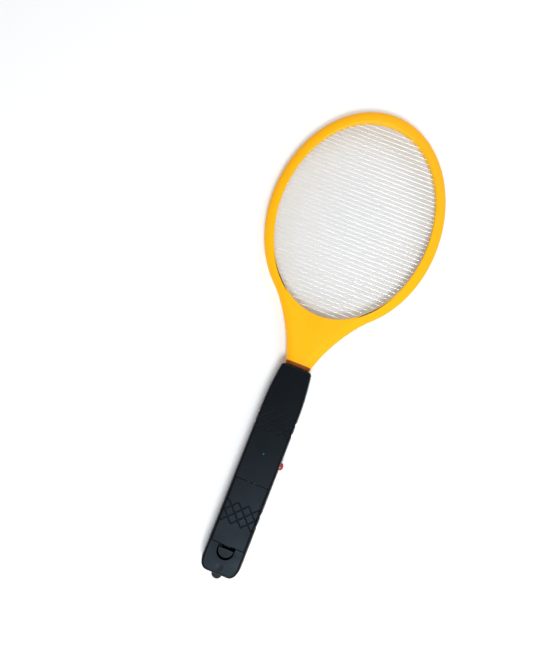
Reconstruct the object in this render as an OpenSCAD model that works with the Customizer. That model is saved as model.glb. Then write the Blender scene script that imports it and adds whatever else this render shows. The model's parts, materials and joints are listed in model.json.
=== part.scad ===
// Electric fly swatter: an oval racket head with a single layer of charged wires, on a
// straight two-shell handle that holds two cells, a push button and a step-up circuit.
// It lies on its back: +Z is up out of the front face and +Y runs from the lug to the head.
// Every module draws with Y counted from the tip of the lug, and place() centres the whole.

/* [Overall] */
// Length from the tip of the lug to the top of the head
overall_len = 515; // [510:1:525]
// Width of the handle at its parting line
handle_w = 41; // [41:0.5:44]
// Thickness of the handle
handle_t = 30; // [30:0.5:32]
// Thickness of the head
head_t = 14; // [14:0.5:16]

/* [Head] */
// Half of the width of the wired opening
hole_a = 80.3; // [79:0.1:82]
// Half of the height of the wired opening
hole_b = 109.7; // [109:0.1:111]
// Width of the rim beside the opening
rim_side = 11.1; // [11:0.1:12]
// Width of the rim at the top of the head
rim_top = 12.5; // [12:0.5:14]
// Half of the width of the neck where it meets the handle
neck_half_w = 13.4; // [13:0.1:14]
// How far in from the outer edge the crowned face of the head reaches its full height
crown = 9; // [7:0.5:9]

/* [Grid] */
// Number of wires across the opening, half of them in each set
wire_count = 46; // [36:2:46]
// Distance from one wire to the next
wire_pitch = 4.6; // [4:0.1:4.6]
// Diameter of a wire
wire_d = 0.6; // [0.4:0.1:0.8]

/* [Handle] */
// Wall thickness of the handle shells
wall = 2.4; // [2.2:0.1:2.6]
// Height on the handle where it starts to narrow towards the head
taper_start = 176; // [174:1:182]
// How much each side narrows by the top of the handle
taper_drop = 4.1; // [2:0.1:4.4]
// Depth of the grip grooves
groove_depth = 0.9; // [0.6:0.1:1.4]

/* [Battery bay] */
// Lower edge of the door
door_bottom = 36.6; // [36.6:0.1:37]
// Upper edge of the door, where it hinges
door_top = 101.2; // [101:0.1:101.2]
// Width of the door
door_w = 33.2; // [33:0.1:33.4]

/* [Controls] */
// Height of the button on the handle
button_y = 126; // [124:1:128]
// Diameter of the part of the button that shows
button_d = 8; // [7:0.1:8.6]
// Height of the indicator lamp on the handle
led_y = 132; // [131:1:133]

/* [Hidden] */
$fn = 48;

black = [0.09, 0.10, 0.12];
yellow = [1.0, 0.70, 0.09];
steel = [0.78, 0.78, 0.80];
eps = 0.1;
gap = 0.2;

mid_z = handle_t / 2;
handle_bottom = 6.2;
handle_top = 225.5;
end_rx = 9;
end_ry = 13;
top_r = 4;
roof_z = handle_t - wall;
inner_x = handle_w / 2 - wall;

hole_y = overall_len - rim_top - hole_b;
outer_a = hole_a + rim_side;
outer_b = hole_b + rim_top;
outer_b_low = outer_b - 5;
blend_angle = -53.4;
hole_flare = 0.9;
channel_in = 4.1;
spigot_half_w = 12;
spigot_t = 9.6;
spigot_bottom = 196;
neck_screw_y = 212;

door_half_w = door_w / 2;
bay_half_w = 15;
bay_bottom = 42.4;
bay_top = 99.2;
tray_wall = 1.4;
tray_top_z = roof_z - 0.3;
tray_floor_z = wall + 0.2;
cell_x = 7.45;
cell_z = roof_z - 8;
cell_clear_r = 7.55;
door_gap = 0.4;
door_seam = 0.6;
scoop_y = 30.9;
scoop_r = 8.8;
pad_r = 7.6;
pad_y = 32;
pad_edge_y = 32.8;
nose_z = 20.4;

lug_r = 5.5;
lug_t = 9;
lug_z = 10;
lug_hole_y = 4.2;
lug_hole_r = 1.3;
notch_depth = 1.4;
sink_r = 3.8;
sink_depth = 0.1;

cell_pitch_x = 5.35;
cell_pitch_y = 5.6;
band_rows = 4;
upper_band_y = 153.8;
lower_band_y = 57;

board_z = 10;
board_t = 1.5;
board_top = board_z + board_t;
board_bottom_y = 114;
board_top_y = 186;

handle_screw_spots = [[0, 14.5], [-13, 108], [13, 108], [0, neck_screw_y]];

// ---------- shared functions ----------

function ellipse_arc(cy, rx, ry, from, to, steps) =
    [for (i = [0:steps]) let (a = from + (to - from) * i / steps) [rx * cos(a), cy + ry * sin(a)]];

function bezier(p, t) =
    pow(1 - t, 3) * p[0] + 3 * pow(1 - t, 2) * t * p[1] + 3 * (1 - t) * t * t * p[2] + pow(t, 3) * p[3];

function flipped(points) = [for (i = [len(points) - 1:-1:0]) [-points[i][0], points[i][1]]];

function edge_normal(a, b) = [b[1] - a[1], a[0] - b[0]] / norm(b - a);

// Moves each corner of an anticlockwise outline inwards by distance d.
function inset(points, d) = [
    for (i = [0:len(points) - 1])
        let (n = len(points),
            before = edge_normal(points[(i + n - 1) % n], points[i]),
            after = edge_normal(points[i], points[(i + 1) % n]))
        points[i] - d * (before + after) / (1 + before * after)
];

// ---------- outlines ----------

function handle_half_w(y) =
    handle_w / 2 - taper_drop * pow(max(0, (y - taper_start) / (handle_top - taper_start)), 2);

function handle_right() =
    let (shoulder_y = handle_top - top_r, shoulder_x = handle_half_w(shoulder_y) - top_r)
    concat(
        [for (a = [-90:11.25:0]) [handle_w / 2 - end_rx + end_rx * cos(a),
            handle_bottom + end_ry + end_ry * sin(a)]],
        [for (i = [0:8]) let (y = taper_start + (shoulder_y - taper_start) * i / 8)
            [handle_half_w(y), y]],
        [for (a = [22.5:22.5:90]) [shoulder_x + top_r * cos(a), shoulder_y + top_r * sin(a)]]
    );
handle_outline = concat(handle_right(), flipped(handle_right()));

function head_right() =
    let (join = [outer_a * cos(blend_angle), hole_y + outer_b_low * sin(blend_angle)],
        neck = [[neck_half_w, 228], [neck_half_w + 5.4, 249], join - [20, 19.1], join])
    concat(
        [[neck_half_w - 1, handle_top - 12]],
        [for (i = [1:11]) bezier(neck, i / 12)],
        ellipse_arc(hole_y, outer_a, outer_b_low, blend_angle, 0, 9),
        [for (a = [5:5:85]) [outer_a * cos(a), hole_y + outer_b * sin(a)]]
    );
head_outline = concat(head_right(), [[0, hole_y + outer_b]], flipped(head_right()));
hole_outline = [for (a = [0:5:355]) [hole_a * cos(a), hole_y + hole_b * sin(a)]];

// ---------- shared shapes ----------

module place() {
    translate([0, -overall_len / 2, 0]) children();
}

module mirror_x() {
    children();
    mirror([1, 0, 0]) children();
}

// Solid through a stack of outlines; each step is [height, inset].
module loft(outline, steps) {
    n = len(outline);
    m = len(steps);
    points = [for (s = steps) for (p = inset(outline, s[1])) [p[0], p[1], s[0]]];
    sides = [for (k = [0:m - 2]) for (i = [0:n - 1])
        let (j = (i + 1) % n, a = k * n) [a + i, a + n + i, a + n + j, a + j]];
    floor_face = [for (i = [0:n - 1]) i];
    roof_face = [for (i = [n - 1:-1:0]) (m - 1) * n + i];
    polyhedron(points, concat([floor_face], sides, [roof_face]));
}

// Round bar along a list of points, used for wire that bends.
module swept_wire(path, radius, sides = 8) {
    n = len(path);
    rings = [for (i = [0:n - 1])
        let (along = path[min(i + 1, n - 1)] - path[max(i - 1, 0)],
            dir = along / norm(along),
            side = cross(dir, abs(dir[2]) > 0.9 ? [1, 0, 0] : [0, 0, 1]),
            u = side / norm(side),
            v = cross(dir, u))
        [for (k = [0:sides - 1]) path[i] + radius * (cos(360 * k / sides) * u + sin(360 * k / sides) * v)]];
    points = [for (r = rings) for (p = r) p];
    skin = [for (i = [0:n - 2]) for (k = [0:sides - 1])
        let (l = (k + 1) % sides, a = i * sides) [a + k, a + l, a + sides + l, a + sides + k]];
    first_cap = [for (k = [sides - 1:-1:0]) k];
    last_cap = [for (k = [0:sides - 1]) (n - 1) * sides + k];
    polyhedron(points, concat([first_cap], skin, [last_cap]));
}

module bar_x(x0, x1, radius) {
    translate([x0, 0, 0]) rotate([0, 90, 0]) cylinder(h = x1 - x0, r = radius);
}

module bar_y(y0, y1, radius) {
    translate([0, y0, 0]) rotate([-90, 0, 0]) cylinder(h = y1 - y0, r = radius);
}

module box(low, high) {
    translate(low) cube(high - low);
}

// One band of crossing V grooves across the face, with notches where it wraps over the sides.
module groove_band(base_y) {
    side = groove_depth * sqrt(2);
    run = [band_rows * cell_pitch_x, band_rows * cell_pitch_y];
    for (start = [-7:2:3]) {
        mirror_x() translate([start * cell_pitch_x, base_y, handle_t])
            rotate([0, 0, -atan2(run[0], run[1])]) rotate([-90, 0, 0])
            rotate([0, 0, 45]) translate([-side / 2, -side / 2, 0]) cube([side, side, norm(run)]);
    }
    side_notches(base_y);
}

// Two V notches down each side of the handle, in line with a groove band.
module side_notches(base_y) {
    side_x = handle_w / 2;
    for (row = [1, 3]) {
        mirror_x() translate([0, base_y + row * cell_pitch_y, -eps]) linear_extrude(handle_t + 2 * eps)
            polygon([[side_x - notch_depth, 0], [side_x + 1, -4.5], [side_x + 1, 4.5]]);
    }
}

module button_hole() {
    translate([0, button_y, mid_z]) bar_x(inner_x - 1, handle_w / 2 + 1, button_d / 2 + 0.3);
}

module spigot_slot() {
    box([-spigot_half_w - gap, handle_top - wall - 1, mid_z - spigot_t / 2 - gap],
        [spigot_half_w + gap, handle_top + 1, mid_z + spigot_t / 2 + gap]);
}

// ---------- handle ----------

module handle_front_shell() {
    shell_steps = [[mid_z, 0], [roof_z - 0.4, 0.9], [handle_t - 1.1, 1.4], [handle_t - 0.3, 2.2], [handle_t, 3.2]];
    color(black) place() difference() {
        union() {
            difference() {
                loft(handle_outline, shell_steps);
                translate([0, 0, mid_z - 1]) linear_extrude(roof_z - mid_z + 1) polygon(inset(handle_outline, wall));
            }
            for (spot = handle_screw_spots) {
                translate([spot[0], spot[1], mid_z]) cylinder(h = roof_z - mid_z + eps, r = 3.2);
            }
        }
        for (spot = handle_screw_spots) {
            translate([spot[0], spot[1], mid_z - eps]) cylinder(h = 9, r = 1.15);
        }
        box([-door_half_w - door_gap, door_bottom - door_seam, roof_z - 1],
            [door_half_w + door_gap, door_top + door_seam, handle_t + 1]);
        translate([0, scoop_y, roof_z - 1]) cylinder(h = wall + 2, r = scoop_r);
        box([-scoop_r, scoop_y, roof_z - 1], [scoop_r, door_bottom, handle_t + 1]);
        translate([0, led_y, roof_z - 1]) cylinder(h = wall + 2, r = 1.6);
        button_hole();
        spigot_slot();
        groove_band(upper_band_y);
        groove_band(lower_band_y);
        sink_mark();
    }
}

// Shallow round dip in the face over the lowest screw boss.
module sink_mark() {
    translate([0, handle_screw_spots[0][1], handle_t - sink_depth]) cylinder(h = 1, r = sink_r);
}

module handle_rear_shell() {
    shell_steps = [[0, 3.4], [0.5, 2], [1.6, 1.2], [3.4, 0.9], [mid_z, 0]];
    color(black) place() difference() {
        union() {
            difference() {
                loft(handle_outline, shell_steps);
                translate([0, 0, wall]) linear_extrude(mid_z) polygon(inset(handle_outline, wall));
            }
            for (spot = handle_screw_spots) {
                translate([spot[0], spot[1], wall - eps]) cylinder(h = 6, r = 4.4);
                translate([spot[0], spot[1], wall]) cylinder(h = mid_z - wall, r = 3.2);
            }
            for (x = [-11, 11], y = [board_bottom_y + 2.6, board_top_y - 2.6]) {
                translate([x, y, wall - eps]) cylinder(h = board_z - wall + eps, r = 2);
            }
            lug();
        }
        for (spot = handle_screw_spots) {
            translate([spot[0], spot[1], -eps]) cylinder(h = 5 + eps, r = 2.9);
            translate([spot[0], spot[1], 0]) cylinder(h = mid_z + 1, r = 1.5);
        }
        button_hole();
        spigot_slot();
        side_notches(upper_band_y);
        side_notches(lower_band_y);
        translate([0, lug_hole_y, lug_z]) bar_x(-lug_r - 1, lug_r + 1, lug_hole_r);
    }
}

// Half-round hanging lug with a cross hole for a cord.
module lug() {
    translate([0, lug_r, lug_z - lug_t / 2]) cylinder(h = lug_t, r = lug_r);
    box([-lug_r, lug_r, lug_z - lug_t / 2], [lug_r, handle_bottom + 1.5, lug_z + lug_t / 2]);
}

// Open tub that holds the two cells side by side.
module battery_tray() {
    color(black) place() difference() {
        union() {
            difference() {
                box([-bay_half_w - tray_wall, bay_bottom - 1.8, tray_floor_z],
                    [bay_half_w + tray_wall, bay_top + 1.8, tray_top_z]);
                box([-bay_half_w, bay_bottom, tray_floor_z + tray_wall], [bay_half_w, bay_top, handle_t]);
            }
            box([-bay_half_w - eps, 57, tray_floor_z + eps], [bay_half_w + eps, 88, cell_z - 3.6]);
        }
        for (x = [-cell_x, cell_x]) {
            translate([x, 0, cell_z]) bar_y(bay_bottom + 1, bay_top - 1, cell_clear_r);
        }
        box([-bay_half_w - 3, bay_top - 1, 23.8], [bay_half_w + 3, bay_top + 3, handle_t]);
    }
}

module battery_door() {
    color(black) place() difference() {
        union() {
            box([-door_half_w, door_bottom, roof_z], [door_half_w, door_top, handle_t]);
            mirror_x() box([6.5, 98.4, roof_z - 1.8], [11.5, 101, roof_z + eps]);
            mirror_x() box([6.5, 98.4, roof_z - 1.8], [11.5, 104, roof_z - 0.4]);
            box([-4, door_bottom + 1, nose_z - 1.8], [4, door_bottom + 2.4, roof_z + eps]);
            box([-4, door_bottom, nose_z - 1.8], [4, door_bottom + 2.4, nose_z - 0.4]);
        }
        groove_band(lower_band_y);
    }
}

// Springy tongue below the door: pushing its half-moon pad towards the lug frees the door.
module door_latch() {
    color(black) place() {
        difference() {
            translate([0, pad_y, roof_z - 1]) cylinder(h = 2.9, r = pad_r);
            box([-10, pad_edge_y, 0], [10, 45, handle_t + 1]);
        }
        box([-5, pad_edge_y - 2, wall + 0.4], [5, pad_edge_y, roof_z]);
        box([-4, 32, nose_z], [4, door_bottom - 0.9, nose_z + 1.6]);
    }
}

// ---------- head ----------

// One half of the head, drawn up from the parting plane: crowned outside, with a channel inside
// for the strips and leads. The opening grows by flare_from at the parting plane and by
// flare_to at the outer face.
module head_half(flare_from, flare_to) {
    deep = head_t / 2;
    skin = [for (t = [0:15:90]) [deep * sin(t), crown * (1 - cos(t))]];
    opening = [[-1, -flare_from], [deep - 0.9, -flare_to], [deep - 0.3, -flare_to - 0.3],
        [deep + 0.1, -flare_to - 1]];
    difference() {
        union() {
            difference() {
                union() {
                    difference() {
                        loft(head_outline, skin);
                        box([-20, 200, -1], [20, handle_top + 0.3, deep + 1]);
                    }
                    box([-spigot_half_w, spigot_bottom, 0], [spigot_half_w, handle_top + 4, spigot_t / 2]);
                }
                loft(hole_outline, opening);
                channel(3.2, 2.6);
                channel(deep - 2.2, 4.2);
                box([-spigot_half_w + 1.8, spigot_bottom + 1.8, -1],
                    [spigot_half_w - 1.8, handle_top + 8, spigot_t / 2 - 1.8]);
            }
            translate([0, neck_screw_y, 0]) cylinder(h = spigot_t / 2, r = 5.2);
        }
        translate([0, neck_screw_y, -1]) cylinder(h = deep + 2, r = 3.6);
        mirror_x() box([5.4, spigot_bottom - 1, -1], [10, spigot_bottom + 3, 2]);
    }
}

module channel(height, outer_inset) {
    translate([0, 0, -1]) linear_extrude(height + 1) difference() {
        polygon(inset(head_outline, outer_inset));
        polygon(inset(hole_outline, -channel_in));
        translate([-20, 200]) square([40, handle_top + 6 - 200]);
    }
}

module head_front_frame() {
    color(yellow) place() translate([0, 0, mid_z]) head_half(hole_flare / 2, 0);
}

module head_rear_frame() {
    color(yellow) place() translate([0, 0, mid_z]) mirror([0, 0, 1]) head_half(hole_flare / 2, hole_flare);
}

strip_offset = 4.5;
strip_t = 0.5;
strip_reach = 106.5;

function wire_y(i) = hole_y + (i - (wire_count - 1) / 2) * wire_pitch;
function span_at(y, grow) = (hole_a + grow) * sqrt(1 - pow((y - hole_y) / (hole_b + grow), 2));

// Every second wire: each runs from its own side's strip into the far wall of the rim.
module grid_wires(first, side) {
    for (i = [first:2:wire_count - 1]) {
        near = span_at(wire_y(i), strip_offset);
        far = span_at(wire_y(i), 2.6);
        translate([0, wire_y(i), mid_z])
            bar_x(side < 0 ? -near : -far, side < 0 ? far : near, wire_d / 2, $fn = 16);
    }
}

module bus_strip(side) {
    last = asin(strip_reach / (hole_b + strip_offset));
    grow = [strip_offset - strip_t / 2, strip_offset + strip_t / 2];
    steps = 40;
    inner_edge = [for (i = [0:steps]) let (a = -last + 2 * last * i / steps)
        [side * (hole_a + grow[0]) * cos(a), hole_y + (hole_b + grow[0]) * sin(a)]];
    outer_edge = [for (i = [steps:-1:0]) let (a = -last + 2 * last * i / steps)
        [side * (hole_a + grow[1]) * cos(a), hole_y + (hole_b + grow[1]) * sin(a)]];
    translate([0, 0, mid_z - 2.2]) linear_extrude(4.4) polygon(concat(inner_edge, outer_edge));
}

module live_grid_wires() {
    color(steel) place() grid_wires(0, -1);
}

module return_grid_wires() {
    color(steel) place() grid_wires(1, 1);
}

module live_bus_strip() {
    color(steel) place() bus_strip(-1);
}

module return_bus_strip() {
    color(steel) place() bus_strip(1);
}

// ---------- button and switch ----------

module push_button() {
    flange_x = inner_x - 0.2;
    dome_x = handle_w / 2 + 0.5;
    dome_h = 2.7;
    color([0.85, 0.05, 0.06]) place() translate([0, button_y, mid_z]) difference() {
        union() {
            bar_x(flange_x - 1, flange_x, 5.4);
            bar_x(flange_x - 0.5, dome_x, button_d / 2);
            translate([dome_x, 0, 0]) rotate([0, 90, 0]) rotate_extrude()
                polygon(concat([[0, -0.1], [button_d / 2, -0.1]],
                    [for (a = [0:9:90]) [button_d / 2 * cos(a), dome_h * sin(a)]]));
        }
        bar_x(flange_x - 2, flange_x + 0.6, 1.6);
    }
}

module switch_plunger() {
    color([0.9, 0.9, 0.86]) place() translate([0, button_y, mid_z]) bar_x(13, inner_x + 0.4, 1.6);
}

module switch_body() {
    color([0.2, 0.2, 0.2]) place() translate([0, button_y, 0]) {
        difference() {
            box([9.8, -3.5, board_top], [15, 3.5, board_top + 7]);
            translate([0, 0, mid_z]) bar_x(11.2, 16, 1.66);
        }
        for (y = [-2.5, 2.5]) {
            translate([11, y, board_z - 1.5]) cylinder(h = 3, r = 0.4);
        }
    }
}

// ---------- circuit ----------

module circuit_board() {
    color([0.08, 0.36, 0.18]) place() difference() {
        box([-15.4, board_bottom_y, board_z], [15.4, board_top_y, board_top]);
        for (y = [button_y - 2.5, button_y + 2.5]) {
            translate([11, y, board_z - 1]) cylinder(h = 4, r = 0.5);
        }
    }
}

coil_y = 165;
coil_z = board_top + 7.2;

module transformer_core() {
    color([0.18, 0.18, 0.2]) place() translate([0, coil_y, coil_z]) difference() {
        box([-9.5, -8, -3], [9.5, 8, 3]);
        mirror_x() box([2, -5.4, -4], [7.2, 5.4, 4]);
    }
}

module transformer_bobbin() {
    color([0.85, 0.82, 0.72]) place() translate([0, coil_y, coil_z]) {
        difference() {
            union() {
                for (y = [-5.2, 4.2]) {
                    box([-7, y, -6.4], [7, y + 1, 6.4]);
                }
                box([-3, -4.6, -4], [3, 4.6, 4]);
            }
            box([-2.1, -7, -3.1], [2.1, 7, 3.1]);
        }
        for (x = [-5, 0, 5], y = [-4.7, 4.7]) {
            translate([x, y, -9.8]) cylinder(h = 3.6, r = 0.4);
        }
    }
}

module transformer_winding() {
    color([0.93, 0.78, 0.2]) place() translate([0, coil_y, coil_z]) difference() {
        bar_y(-4.1, 4.1, 6.2);
        box([-3.1, -6, -4.1], [3.1, 6, 4.1]);
    }
}

module legs(spots, top_z) {
    for (spot = spots) {
        translate([spot[0], spot[1], board_z - 1]) cylinder(h = top_z - board_z + 1, r = 0.3);
    }
}

module switching_transistor() {
    color([0.12, 0.12, 0.13]) place() {
        difference() {
            translate([8, 144, board_top + 3]) cylinder(h = 5, r = 2.4);
            box([5, 145.4, board_top], [11, 148, board_top + 9]);
        }
        legs([[6.7, 144], [8, 144], [9.3, 144]], board_top + 3.4);
    }
}

module storage_capacitor() {
    color([0.62, 0.16, 0.1]) place() {
        box([-13, 136, board_top + 0.4], [-6.5, 153, board_top + 12]);
        legs([[-9.7, 139], [-9.7, 150]], board_top + 1);
    }
}

module multiplier_capacitors() {
    color([0.15, 0.3, 0.62]) place() mirror_x() {
        translate([10, 178, board_top + 5.4]) bar_x(-1.3, 1.3, 4);
        legs([[10, 175.6], [10, 180.4]], board_top + 3);
    }
}

module rectifier_diodes() {
    color([0.1, 0.1, 0.1]) place() for (x = [-4, 0, 4]) {
        translate([x, 0, board_top + 1.6]) bar_y(176.6, 181.8, 1.3);
        legs([[x, 177.4], [x, 181]], board_top + 1.2);
    }
}

module resistors() {
    color([0.78, 0.64, 0.42]) place() for (y = [120.5, 124.5, 128.5]) {
        translate([0, y, board_top + 1.5]) bar_x(-12.2, -6, 1.15);
        legs([[-11.5, y], [-6.7, y]], board_top + 1);
    }
}

module indicator_led() {
    color([0.1, 0.75, 0.3]) place() translate([0, led_y, 0]) {
        translate([0, 0, roof_z - 3.4]) cylinder(h = 0.9, r = 1.9);
        translate([0, 0, roof_z - 3]) cylinder(h = 3.8, r = 1.5);
        translate([0, 0, handle_t - 1.6]) sphere(r = 1.5);
        for (x = [-1, 1]) {
            translate([x, 0, board_z - 1]) cylinder(h = roof_z - board_z - 2, r = 0.25);
        }
    }
}

// ---------- contacts and springs ----------

module series_link_contact() {
    color(steel) place() {
        box([-13.2, bay_bottom, 9], [13.2, bay_bottom + 0.5, 25]);
        translate([cell_x, 0, cell_z]) bar_y(bay_bottom + 0.4, bay_bottom + 1.4, 2.4);
    }
}

// Contact plate at the top of the bay, with a solder tab folded over the tray's wall.
module top_contact(side) {
    low_x = side < 0 ? -13.2 : 1.6;
    tab_x = side < 0 ? -5 : 2.4;
    box([low_x, bay_top - 0.5, 9], [low_x + 11.6, bay_top, 23.6]);
    box([tab_x, bay_top - 0.5, 23], [tab_x + 2.6, bay_top, 24.3]);
    box([tab_x, bay_top - 0.5, 23.9], [tab_x + 2.6, bay_top + 3.6, 24.4]);
}

module positive_contact() {
    color(steel) place() {
        top_contact(-1);
        translate([-cell_x, 0, cell_z]) bar_y(bay_top - 1.4, bay_top - 0.4, 2.4);
    }
}

module negative_contact() {
    color(steel) place() top_contact(1);
}

// Conical coil spring that stands out from its plate along dir.
module cell_spring(x, y, dir) {
    turns = 4.5;
    rings = 56;
    height = 7.4;
    path = [for (i = [0:rings]) let (t = i / rings, r = 4.3 - 1.6 * t)
        [r * cos(360 * turns * t), dir * (0.4 + height * t), r * sin(360 * turns * t)]];
    translate([x, y, cell_z]) swept_wire(path, 0.4);
}

module lower_cell_spring() {
    color(steel) place() cell_spring(-cell_x, bay_bottom + 0.5, 1);
}

module upper_cell_spring() {
    color(steel) place() cell_spring(cell_x, bay_top - 0.5, -1);
}

// ---------- leads ----------

function battery_route(side) = [
    [side * 3.7, bay_top + 3.4, 24.8], [side * 3.7, bay_top + 5, 24.8], [side * 3.8, 106, 24],
    [side * 4, 109, 20], [side * 4.4, 112, 15.5], [side * 4.8, 115, 13.4], [side * 5, 116.4, 12.8],
    [side * 5, 117.4, 12], [side * 5, 117.8, 11]
];

function high_voltage_route(side) = [
    [side * 7.4, 184.2, 11], [side * 7.4, 184.6, 12.4], [side * 7.5, 186.2, 13.6], [side * 7.6, 190, 14.4],
    [side * 7.6, 196, 15], [side * 7.6, 204, 15], [side * 7.6, 212, 15], [side * 7.6, 220, 15],
    [side * 7.6, 228, 15], [side * 8.2, 238, 15], [side * 10.4, hole_y - 142.8, 15],
    [side * 15, hole_y - 130.8, 15], [side * 20.5, hole_y - 121.8, 15], [side * 26, hole_y - 113.8, 15],
    [side * 29, hole_y - 109.8, 15], [side * 32, hole_y - strip_reach, 15]
];

module positive_lead() {
    color([0.8, 0.1, 0.1]) place() swept_wire(battery_route(-1), 0.6);
}

module negative_lead() {
    color([0.15, 0.15, 0.15]) place() swept_wire(battery_route(1), 0.6);
}

module live_high_voltage_lead() {
    color([0.8, 0.1, 0.1]) place() swept_wire(high_voltage_route(-1), 0.7);
}

module return_high_voltage_lead() {
    color([0.95, 0.95, 0.95]) place() swept_wire(high_voltage_route(1), 0.7);
}

// ---------- fasteners ----------

module screw(head_r, head_h, shank_r, shank_len) {
    difference() {
        union() {
            translate([0, 0, -head_h]) cylinder(h = head_h, r = head_r);
            cylinder(h = shank_len, r = shank_r);
        }
        for (turn = [0, 90]) {
            rotate([0, 0, turn]) translate([-head_r * 0.6, -head_r * 0.13, -head_h - eps])
                cube([head_r * 1.2, head_r * 0.26, head_h * 0.6]);
        }
    }
}

module handle_screws() {
    color(steel) place() for (spot = handle_screw_spots) {
        translate([spot[0], spot[1], 5]) screw(2.6, 1.8, 1.25, 16);
    }
}

handle_front_shell();
handle_rear_shell();
battery_tray();
battery_door();
door_latch();
head_front_frame();
head_rear_frame();
live_grid_wires();
return_grid_wires();
live_bus_strip();
return_bus_strip();
push_button();
switch_plunger();
switch_body();
circuit_board();
transformer_core();
transformer_bobbin();
transformer_winding();
switching_transistor();
storage_capacitor();
multiplier_capacitors();
rectifier_diodes();
resistors();
indicator_led();
series_link_contact();
positive_contact();
negative_contact();
lower_cell_spring();
upper_cell_spring();
positive_lead();
negative_lead();
live_high_voltage_lead();
return_high_voltage_lead();
handle_screws();
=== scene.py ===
"""Studio scene of an electric fly swatter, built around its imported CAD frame."""

import json
import math

import bmesh
import bpy
from mathutils import Matrix, Vector


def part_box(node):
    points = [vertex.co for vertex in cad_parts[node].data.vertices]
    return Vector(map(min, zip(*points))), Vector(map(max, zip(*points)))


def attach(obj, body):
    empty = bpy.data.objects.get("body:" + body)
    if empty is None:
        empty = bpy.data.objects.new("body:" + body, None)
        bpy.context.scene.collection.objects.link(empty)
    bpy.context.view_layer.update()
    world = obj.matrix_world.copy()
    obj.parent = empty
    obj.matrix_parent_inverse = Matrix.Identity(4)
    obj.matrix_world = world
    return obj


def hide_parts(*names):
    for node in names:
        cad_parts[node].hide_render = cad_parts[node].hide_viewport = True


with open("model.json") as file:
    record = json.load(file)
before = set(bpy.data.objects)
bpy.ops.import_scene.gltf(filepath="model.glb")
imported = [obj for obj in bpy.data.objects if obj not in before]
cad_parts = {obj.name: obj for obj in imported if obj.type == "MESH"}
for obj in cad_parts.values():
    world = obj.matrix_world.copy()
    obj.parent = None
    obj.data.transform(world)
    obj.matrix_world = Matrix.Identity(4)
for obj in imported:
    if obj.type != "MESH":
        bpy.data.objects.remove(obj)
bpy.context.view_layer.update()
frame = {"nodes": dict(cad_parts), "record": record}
NODES = frame["nodes"]
MM = 0.001
PART_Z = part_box("head_front_frame")[0].z
HEAD_TOP_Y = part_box("head_front_frame")[1].y
NECK_END_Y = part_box("handle_front_shell")[1].y + 0.3 * MM
OUTER_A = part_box("head_front_frame")[1].x
HEAD_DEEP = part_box("head_front_frame")[1].z - PART_Z
RIM_SIDE, RIM_TOP = 11.1 * MM, 12.5 * MM
HOLE_A, HOLE_B = OUTER_A - RIM_SIDE, 109.7 * MM
HOLE_Y = HEAD_TOP_Y - RIM_TOP - HOLE_B


# ---------- camera, light and floor ----------

IMAGE_W, IMAGE_H = 533, 666
FOCAL_PX = 750
CAMERA_HEIGHT = 0.785
CAMERA_SPOT = (-0.001, -0.0952)
CAMERA_TURN = math.radians(21.5)
CAMERA_TILT = math.radians(7.0)
CAMERA_ROLL = math.radians(0.54)
SENSOR = 36.0


def make_camera():
    data = bpy.data.cameras.new("camera")
    data.sensor_width = SENSOR
    data.lens = SENSOR * FOCAL_PX / max(IMAGE_W, IMAGE_H)
    data.clip_start, data.clip_end = 0.01, 20
    camera = bpy.data.objects.new("camera", data)
    turn = Matrix.Rotation(CAMERA_TURN, 4, "Z")
    tilt = Matrix.Rotation(CAMERA_TILT, 4, "X")
    roll = Matrix.Rotation(CAMERA_ROLL, 4, "Y")
    camera.matrix_world = Matrix.Translation((*CAMERA_SPOT, CAMERA_HEIGHT)) @ turn @ tilt @ roll
    bpy.context.collection.objects.link(camera)
    bpy.context.scene.camera = camera


def area_light(name, direction, distance, size, power, colour=(1, 1, 1)):
    """A square soft box that looks at the middle of the object from the given direction."""
    data = bpy.data.lights.new(name, "AREA")
    data.size = size
    data.energy = power
    data.color = colour
    light = bpy.data.objects.new(name, data)
    towards = Vector(direction).normalized()
    light.location = towards * distance
    light.rotation_mode = "QUATERNION"
    light.rotation_quaternion = towards.to_track_quat("Z", "Y")
    bpy.context.collection.objects.link(light)


def make_studio():
    world = bpy.data.worlds.new("studio")
    world.use_nodes = True
    background = world.node_tree.nodes["Background"]
    background.inputs["Color"].default_value = (1, 1, 1, 1)
    background.inputs["Strength"].default_value = 0.52
    bpy.context.scene.world = world
    area_light("key", (0.14, -0.38, 0.92), 1.5, 0.34, 15, (0.93, 0.97, 1.0))
    area_light("front", (0.2, -0.87, 0.42), 1.3, 0.9, 5, (0.96, 0.98, 1.0))
    area_light("fill", (0.4, 0.7, 0.75), 1.6, 1.2, 7, (1.0, 0.98, 0.95))
    view = bpy.context.scene.view_settings
    view.view_transform = "Standard"
    view.look = "None"


def make_floor():
    half = 3.0
    mesh = bpy.data.meshes.new("floor")
    corners = [(-half, -half, 0), (half, -half, 0), (half, half, 0), (-half, half, 0)]
    mesh.from_pydata(corners, [], [(0, 1, 2, 3)])
    floor = bpy.data.objects.new("floor", mesh)
    floor.location.z = -0.0003
    bpy.context.collection.objects.link(floor)
    floor.data.materials.append(floor_material())


# ---------- material tools ----------

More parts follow.
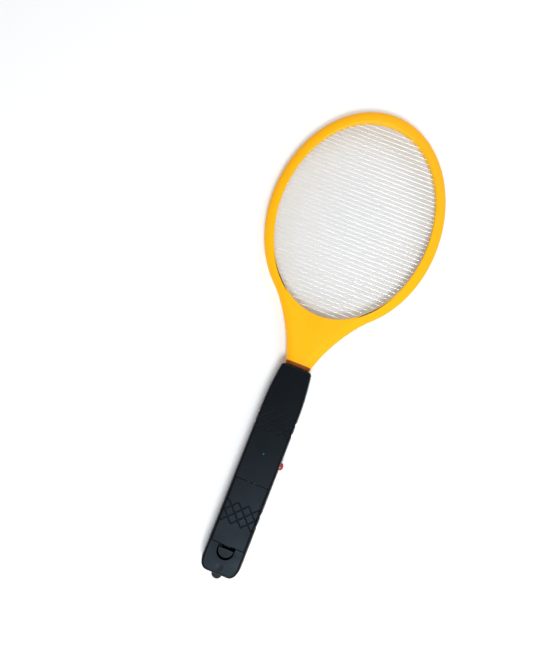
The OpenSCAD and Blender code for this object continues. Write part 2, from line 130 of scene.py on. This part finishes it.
class Nodes:
    """Short ways to add and link shader nodes."""

    def __init__(self, name):
        self.material = bpy.data.materials.new(name)
        self.material.use_nodes = True
        self.tree = self.material.node_tree
        self.shader = self.tree.nodes["Principled BSDF"]
        self.place = self.add("ShaderNodeTexCoord").outputs["Object"]

    def add(self, kind, **settings):
        node = self.tree.nodes.new(kind)
        for key, value in settings.items():
            setattr(node, key, value)
        return node

    def link(self, source, target):
        self.tree.links.new(source, target)

    def noise(self, scale, detail=3.0, roughness=0.5, place=None):
        node = self.add("ShaderNodeTexNoise")
        node.inputs["Scale"].default_value = scale
        node.inputs["Detail"].default_value = detail
        node.inputs["Roughness"].default_value = roughness
        self.link(place or self.place, node.inputs["Vector"])
        return node.outputs["Fac"]

    def stretched(self, scale, shift=(0, 0, 0)):
        node = self.add("ShaderNodeMapping")
        node.inputs["Scale"].default_value = scale
        node.inputs["Location"].default_value = shift
        self.link(self.place, node.inputs["Vector"])
        return node.outputs["Vector"]

    def spread(self, value, low, high, to_low, to_high):
        """Maps value from low..high to to_low..to_high, clamped."""
        node = self.add("ShaderNodeMapRange")
        for name, number in zip(("From Min", "From Max", "To Min", "To Max"), (low, high, to_low, to_high)):
            node.inputs[name].default_value = number
        self.link(value, node.inputs["Value"])
        return node.outputs["Result"]

    def maths(self, operation, a, b):
        node = self.add("ShaderNodeMath", operation=operation)
        for socket, value in zip(node.inputs, (a, b)):
            if isinstance(value, (int, float)):
                socket.default_value = value
            else:
                self.link(value, socket)
        return node.outputs["Value"]

    def mix(self, factor, a, b):
        """Blends two colours, each a tuple or a socket, by a factor socket."""
        node = self.add("ShaderNodeMix", data_type="RGBA")
        self.link(factor, node.inputs["Factor"])
        for name, colour in (("A", a), ("B", b)):
            socket = [s for s in node.inputs if s.name == name and s.type == "RGBA"][0]
            if isinstance(colour, tuple):
                socket.default_value = (*colour, 1)
            else:
                self.link(colour, socket)
        return [s for s in node.outputs if s.type == "RGBA"][0]

    def bump(self, *layers, radius=0.0003):
        """Stacks bumps, each (height socket, distance in metres, strength), on rounded edges."""
        normal = self.rounded(radius)
        for height, distance, strength in layers:
            node = self.add("ShaderNodeBump")
            node.inputs["Strength"].default_value = strength
            node.inputs["Distance"].default_value = distance
            self.link(height, node.inputs["Height"])
            self.link(normal, node.inputs["Normal"])
            normal = node.outputs["Normal"]
        self.link(normal, self.shader.inputs["Normal"])

    def rounded(self, radius):
        """Normal that rounds sharp edges by the given radius in metres."""
        node = self.add("ShaderNodeBevel", samples=6)
        node.inputs["Radius"].default_value = radius
        return node.outputs["Normal"]

    def edges(self, radius=0.0005):
        """1 along worn outer edges, 0 on flat faces, from how far rounding would turn the normal."""
        turned = self.add("ShaderNodeVectorMath", operation="DOT_PRODUCT")
        self.link(self.rounded(radius), turned.inputs[0])
        self.link(self.add("ShaderNodeNewGeometry").outputs["Normal"], turned.inputs[1])
        return self.spread(turned.outputs["Value"], 0.98, 0.85, 0, 1)

    def oval(self, a, b, y, low, high):
        """0 inside an upright oval about (0, y), 1 outside, blending from low to high of its size."""
        length = self.add("ShaderNodeVectorMath", operation="LENGTH")
        self.link(self.stretched((1 / a, 1 / b, 0), (0, -y / b, 0)), length.inputs[0])
        return self.spread(length.outputs["Value"], low, high, 0, 1)

    def facing_up(self):
        """How far the surface faces up: 1 when it is level, 0 when it is upright."""
        parts = self.add("ShaderNodeSeparateXYZ")
        self.link(self.add("ShaderNodeNewGeometry").outputs["Normal"], parts.inputs["Vector"])
        return parts.outputs["Z"]

    def neck_shadow_band(self):
        """1 on the face of the neck just above the handle, where the painted shadow of the handle goes, 0
        elsewhere.
        """
        parts = self.add("ShaderNodeSeparateXYZ")
        self.link(self.place, parts.inputs["Vector"])
        low = self.spread(parts.outputs["Y"], NECK_END_Y + SHADOW_BAND, NECK_END_Y + SHADOW_BAND + 0.5 * MM, 1, 0)
        return self.maths("MULTIPLY", low, self.spread(parts.outputs["Z"], PART_Z, PART_Z + 3 * MM, 0, 1))

    def set(self, **values):
        for key, value in values.items():
            socket = self.shader.inputs[key.replace("_", " ")]
            if isinstance(value, tuple):
                socket.default_value = (*value, 1)
            elif isinstance(value, (int, float)):
                socket.default_value = value
            else:
                self.link(value, socket)


def moulded_plastic(name, colour, dark, worn, rough, grain=1.0, gloss=0.5, sheen=(1, 1, 1), shadow=None,
                    groove=None, lip=None):
    """Injection-moulded plastic: slow colour drift, spark-eroded grain, fine scuffs and worn edges.

    The last three colours are painted light and shade, placed by position: the shadow colour is a painted
    shadow on the neck beside the handle, the lip colour a painted highlight on the inner wall of the
    opening, the groove colour painted light on the slopes of the grip grooves.
    With groove there is also a shaded dish over the lowest screw boss.
    """
    n = Nodes(name)
    drift = n.spread(n.noise(9, 2), 0.35, 0.65, 0, 1)
    base = n.mix(drift, dark, colour)
    # Painted shadow of the handle's end, in a band across the neck's front face.
    if shadow:
        base = n.mix(n.neck_shadow_band(), base, shadow)
    # Painted highlight: a lighter yellow on the upright inner wall of the opening.
    if lip:
        wall = n.spread(n.facing_up(), 0.3, 0.6, 1, 0)
        inner = n.spread(n.oval(HOLE_A, HOLE_B, HOLE_Y, 1.0, 1.03), 0, 1, 1, 0)
        base = n.mix(n.maths("MULTIPLY", wall, inner), base, lip)
    # Painted light: a lighter black on sloping faces within the handle's width, standing in for light on
    # the grip grooves' walls.
    if groove:
        up = n.facing_up()
        slope = n.maths("MULTIPLY", n.spread(up, 0.3, 0.6, 0, 1), n.spread(up, 0.8, 0.9, 1, 0))
        inner = n.oval(18 * MM, 1, 0, 0.94, 1.0)
        base = n.mix(n.maths("MULTIPLY", slope, n.spread(inner, 0, 1, 1, 0)), base, groove)
    scuff = n.spread(n.noise(160, 4, 0.7), 0.6, 0.75, 0, 0.07)
    patch = n.spread(n.noise(45, 3), 0.3, 0.7, rough - 0.05, rough + 0.05)
    n.set(
        Base_Color=n.mix(n.maths("MULTIPLY", n.edges(), 0.4), base, worn),
        Roughness=n.maths("ADD", patch, scuff),
    )
    n.shader.inputs["Specular IOR Level"].default_value = gloss
    n.shader.inputs["Specular Tint"].default_value = (*sheen, 1)
    layers = [(n.noise(2600, 2), 0.00012, 0.10 * grain), (n.noise(240, 2), 0.0004, 0.05 * grain)]
    if groove:
        layers.append((n.oval(SINK_R, SINK_R, SINK_Y, 0, 1), 0.0003, 0.6))
    n.bump(*layers)
    return n.material


def drawn_metal(name, colour, rough, streak=(40, 900, 900), dull=(0.35, 0.35, 0.36)):
    """Bright metal with streaks along its drawing direction and dull spots."""
    n = Nodes(name)
    streaks = n.noise(3, 4, 0.6, n.stretched(streak))
    spots = n.spread(n.noise(120, 3), 0.62, 0.75, 0, 0.5)
    n.set(
        Base_Color=n.mix(spots, colour, dull),
        Metallic=1.0,
        Roughness=n.spread(streaks, 0.3, 0.7, rough - 0.06, rough + 0.08),
    )
    n.bump((streaks, 0.0001, 0.15))
    return n.material


def coloured_part(name, colour, rough, coat=0.0, speckle=0.12):
    """Lacquered or moulded small part with a fine speckle."""
    n = Nodes(name)
    darker = tuple(c * (1 - 2 * speckle) for c in colour)
    n.set(
        Base_Color=n.mix(n.spread(n.noise(500, 3), 0.4, 0.6, 0, 1), darker, colour),
        Roughness=n.spread(n.noise(200, 3), 0.3, 0.7, rough - 0.05, rough + 0.07),
    )
    n.shader.inputs["Coat Weight"].default_value = coat
    n.bump((n.noise(900, 2), 0.00015, 0.12))
    return n.material


def floor_material():
    """White paper, with a painted shade under the wires of the head: a greyer oval, cooler towards its rim.
    """
    n = Nodes("floor_paper")
    paper = n.mix(n.noise(3, 2), (0.87, 0.87, 0.875), (0.89, 0.89, 0.89))
    # Painted shade: grey oval under the head, darker and cooler near its edge, fading to the paper outside.
    under = n.mix(n.oval(SHADE_A, SHADE_B, SHADE_Y, 0.55, 0.95), (0.68, 0.68, 0.685), (0.63, 0.66, 0.68))
    n.set(Base_Color=n.mix(n.oval(SHADE_A, SHADE_B, SHADE_Y, 0.97, 1.03), under, paper), Roughness=0.85)
    n.bump((n.noise(1500, 2), 0.0001, 0.05))
    return n.material


def lamp_material():
    n = Nodes("green_lens")
    n.set(
        Base_Color=n.mix(n.noise(300, 2), (0.004, 0.10, 0.035), (0.006, 0.14, 0.05)),
        Roughness=n.spread(n.noise(200, 2), 0.3, 0.7, 0.10, 0.18),
        Transmission_Weight=0.35,
        IOR=1.5,
    )
    return n.material


def board_material():
    """Solder mask with faint copper tracks under it."""
    n = Nodes("board_laminate")
    tracks = n.add("ShaderNodeTexBrick")
    tracks.inputs["Scale"].default_value = 90
    n.link(n.place, tracks.inputs["Vector"])
    lines = n.spread(tracks.outputs["Fac"], 0.0, 1.0, 0, 1)
    n.set(
        Base_Color=n.mix(lines, (0.015, 0.13, 0.045), (0.04, 0.25, 0.09)),
        Roughness=n.spread(n.noise(300, 2), 0.3, 0.7, 0.28, 0.4),
    )
    n.shader.inputs["Coat Weight"].default_value = 0.3
    n.bump((lines, 0.0001, 0.3))
    return n.material


# Length of the painted shadow band on the neck above the handle.
SHADOW_BAND = 3.6 * MM
SINK_R, SINK_Y = 4.2 * MM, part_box("handle_rear_shell")[0].y + 14.8 * MM
# Size and place of the painted shade oval on the floor.
SHADE_A, SHADE_B, SHADE_Y = 88 * MM, 118 * MM, 140 * MM

# Black mouldings: the groove colour is painted light on the slopes of the grip grooves.
BLACK = moulded_plastic(
    "black_abs", (0.0022, 0.0026, 0.0036), (0.0018, 0.0021, 0.003), (0.02, 0.023, 0.03), 0.36,
    gloss=0.10, sheen=(0.66, 0.84, 1.0), groove=(0.009, 0.011, 0.015),
)
# Yellow mouldings: the shadow colour is a painted shadow on the neck, the lip colour a painted highlight on
# the opening's inner wall.
YELLOW = moulded_plastic(
    "yellow_abs", (0.92, 0.415, 0.002), (0.90, 0.40, 0.0015), (0.96, 0.56, 0.02), 0.42, 0.6, 0.16,
    shadow=(0.22, 0.05, 0.004), lip=(1.0, 0.58, 0.012),
)
RED = moulded_plastic(
    "red_plastic", (0.34, 0.006, 0.008), (0.30, 0.005, 0.006), (0.42, 0.03, 0.03), 0.16, 0.3,
)
WIRE = drawn_metal("wire_steel", (0.74, 0.74, 0.75), 0.34, streak=(30, 2500, 2500))
PLATED = drawn_metal("plated_steel", (0.78, 0.77, 0.74), 0.20)
SCREW = drawn_metal("screw_steel", (0.62, 0.63, 0.65), 0.30, streak=(500, 500, 60))

MATERIALS = {
    "black_abs": BLACK,
    "yellow_abs": YELLOW,
    "red_plastic": RED,
    "wire_steel": WIRE,
    "plated_steel": PLATED,
    "screw_steel": SCREW,
    "ivory_plastic": moulded_plastic(
        "ivory_plastic", (0.72, 0.68, 0.55), (0.66, 0.62, 0.50), (0.8, 0.78, 0.7), 0.45
    ),
    "dark_plastic": moulded_plastic(
        "dark_plastic", (0.02, 0.02, 0.022), (0.015, 0.015, 0.016), (0.07, 0.07, 0.07), 0.5
    ),
    "board_laminate": board_material(),
    "ferrite": coloured_part("ferrite", (0.045, 0.045, 0.048), 0.55, speckle=0.25),
    "winding_tape": coloured_part("winding_tape", (0.78, 0.50, 0.04), 0.25, coat=0.4),
    "red_lacquer": coloured_part("red_lacquer", (0.32, 0.045, 0.02), 0.25, coat=0.5),
    "blue_lacquer": coloured_part("blue_lacquer", (0.03, 0.10, 0.34), 0.3, coat=0.4),
    "tan_lacquer": coloured_part("tan_lacquer", (0.55, 0.38, 0.18), 0.35, coat=0.3),
    "green_lens": lamp_material(),
    "red_insulation": coloured_part("red_insulation", (0.52, 0.02, 0.02), 0.4),
    "black_insulation": coloured_part("black_insulation", (0.015, 0.015, 0.015), 0.4),
    "white_insulation": coloured_part("white_insulation", (0.75, 0.75, 0.72), 0.4),
}


# ---------- CAD nodes that stay ----------

def shade(o, angle=32):
    """Smooth shading that keeps edges sharper than angle and lets large faces stay flat."""
    for polygon in o.data.polygons:
        polygon.use_smooth = True
    o.data.set_sharp_from_angle(angle=math.radians(angle))
    normals = o.modifiers.new("flat_faces", "WEIGHTED_NORMAL")
    normals.weight = 100
    normals.keep_sharp = True


def finish_nodes():
    slots = {s["node"]: s["material_slot"] for s in frame["record"]["subparts"]}
    for name, o in NODES.items():
        o.data.materials.clear()
        o.data.materials.append(MATERIALS[slots[name]])
        shade(o)


# ---------- the head ----------

OUTER_B = HOLE_B + RIM_TOP
OUTER_B_LOW = OUTER_B - 5 * MM
NECK_HALF_W = 13.4 * MM
CROWN = 9 * MM
HOLE_FLARE = 0.9 * MM


def bezier(a, b, c, d, t):
    return a * (1 - t) ** 3 + b * 3 * t * (1 - t) ** 2 + c * 3 * t * t * (1 - t) + d * t ** 3


def head_outline():
    """Right side of the head from the neck's end to its top, as points that follow part.scad's curves."""
    blend = math.radians(-53.4)
    join = Vector((OUTER_A * math.cos(blend), HOLE_Y + OUTER_B_LOW * math.sin(blend)))
    start = Vector((NECK_HALF_W, NECK_END_Y + 2 * MM))
    lean = Vector((5.4, 21)) * MM
    pull = Vector((20, 19.1)) * MM
    points = [Vector((NECK_HALF_W - 0.3 * MM, NECK_END_Y))]
    points += [bezier(start, start + lean, join - pull, join, t / 40) for t in range(1, 40)]
    points += [Vector((OUTER_A * math.cos(a), HOLE_Y + OUTER_B_LOW * math.sin(a)))
               for a in (blend * (1 - i / 36) for i in range(36))]
    points += [Vector((OUTER_A * math.cos(a), HOLE_Y + OUTER_B * math.sin(a)))
               for a in (math.radians(1.5 * i) for i in range(60))]
    top = Vector((0, HOLE_Y + OUTER_B))
    return points + [top] + [Vector((-p.x, p.y)) for p in reversed(points)]


def inset_open(points, distance):
    """Moves an open anticlockwise curve inwards; its two ends stay on the neck's end line."""
    moved = []
    for i, p in enumerate(points):
        before = points[max(i - 1, 0)]
        after = points[min(i + 1, len(points) - 1)]
        along = (after - before).normalized()
        q = p - Vector((along.y, -along.x)) * distance
        moved.append(q)
    for end in (0, -1):
        moved[end].y = points[end].y
    return moved


END_STEPS = 10


def outer_loop(distance, end_wall=0.0):
    """Closed loop round the head, moved in by distance, with its end line moved up by end_wall."""
    curve = inset_open(head_outline(), distance)
    for p in curve:
        p.y = max(p.y, NECK_END_Y + end_wall)
    first, last = curve[0], curve[-1]
    return curve + [last.lerp(first, i / END_STEPS) for i in range(1, END_STEPS)]


BASE_LOOP = outer_loop(0)
LOOP_ANGLES = [math.atan2((p.y - HOLE_Y) / HOLE_B, p.x / HOLE_A) for p in BASE_LOOP]


def hole_loop(out):
    """Closed loop round the opening, grown by out, with one point for each point of the outer loop."""
    a, b = HOLE_A + out, HOLE_B + out
    return [Vector((a * math.cos(turn), HOLE_Y + b * math.sin(turn))) for turn in LOOP_ANGLES]


def lathe_loops(name, loops):
    """Closed mesh from a closed chain of loops, each (points, height)."""
    bm = bmesh.new()
    rows = [[bm.verts.new((p.x, p.y, z)) for p in points] for points, z in loops]
    count = len(rows[0])
    for k, row in enumerate(rows):
        above = rows[(k + 1) % len(rows)]
        for i in range(count):
            j = (i + 1) % count
            bm.faces.new((row[i], row[j], above[j], above[i]))
    bmesh.ops.recalc_face_normals(bm, faces=bm.faces)
    mesh = bpy.data.meshes.new(name)
    bm.to_mesh(mesh)
    bm.free()
    o = bpy.data.objects.new(name, mesh)
    bpy.context.collection.objects.link(o)
    return o


def head_frame(name, node, side, flare_part, flare_face):
    """Crowned half of the head. side is 1 for the front half and -1 for the rear half."""
    def z(up):
        return PART_Z + side * up

    loops = []
    for i in range(0, 13):
        t = math.radians(7.5 * i)
        loops.append((outer_loop(CROWN * (1 - math.cos(t))), z(HEAD_DEEP * math.sin(t))))
    lip = 1.1 * MM
    for i in range(0, 6):
        t = math.radians(18 * i)
        height = HEAD_DEEP - lip * (1 - math.cos(t))
        loops.append((hole_loop(flare_face + lip * (1 - math.sin(t))), z(height)))
    for i in range(1, 5):
        share = i / 4
        height = (HEAD_DEEP - lip) * (1 - share)
        loops.append((hole_loop(flare_face + (flare_part - flare_face) * share), z(height)))
    roof = HEAD_DEEP - 2.4 * MM
    loops.append((hole_loop(4.1 * MM), z(0)))
    loops.append((hole_loop(4.1 * MM), z(roof)))
    loops.append((outer_loop(5.0 * MM, 1.5 * MM), z(roof)))
    loops.append((outer_loop(2.6 * MM, 1.5 * MM), z(3.0 * MM)))
    loops.append((outer_loop(2.6 * MM, 1.5 * MM), z(0)))
    o = lathe_loops(name, loops)
    o.data.materials.append(YELLOW)
    shade(o, 40)
    bevel = o.modifiers.new("rounded_edges", "BEVEL")
    bevel.width = 0.2 * MM
    bevel.segments = 2
    bevel.limit_method = "ANGLE"
    bevel.angle_limit = math.radians(40)
    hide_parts(node)
    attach(o, "housing")
    return o


def make_head():
    head_frame("head_front_moulding", "head_front_frame", 1, HOLE_FLARE / 2, 0)
    head_frame("head_rear_moulding", "head_rear_frame", -1, HOLE_FLARE / 2, HOLE_FLARE)


# ---------- build ----------

make_camera()
make_studio()
make_floor()
finish_nodes()
make_head()
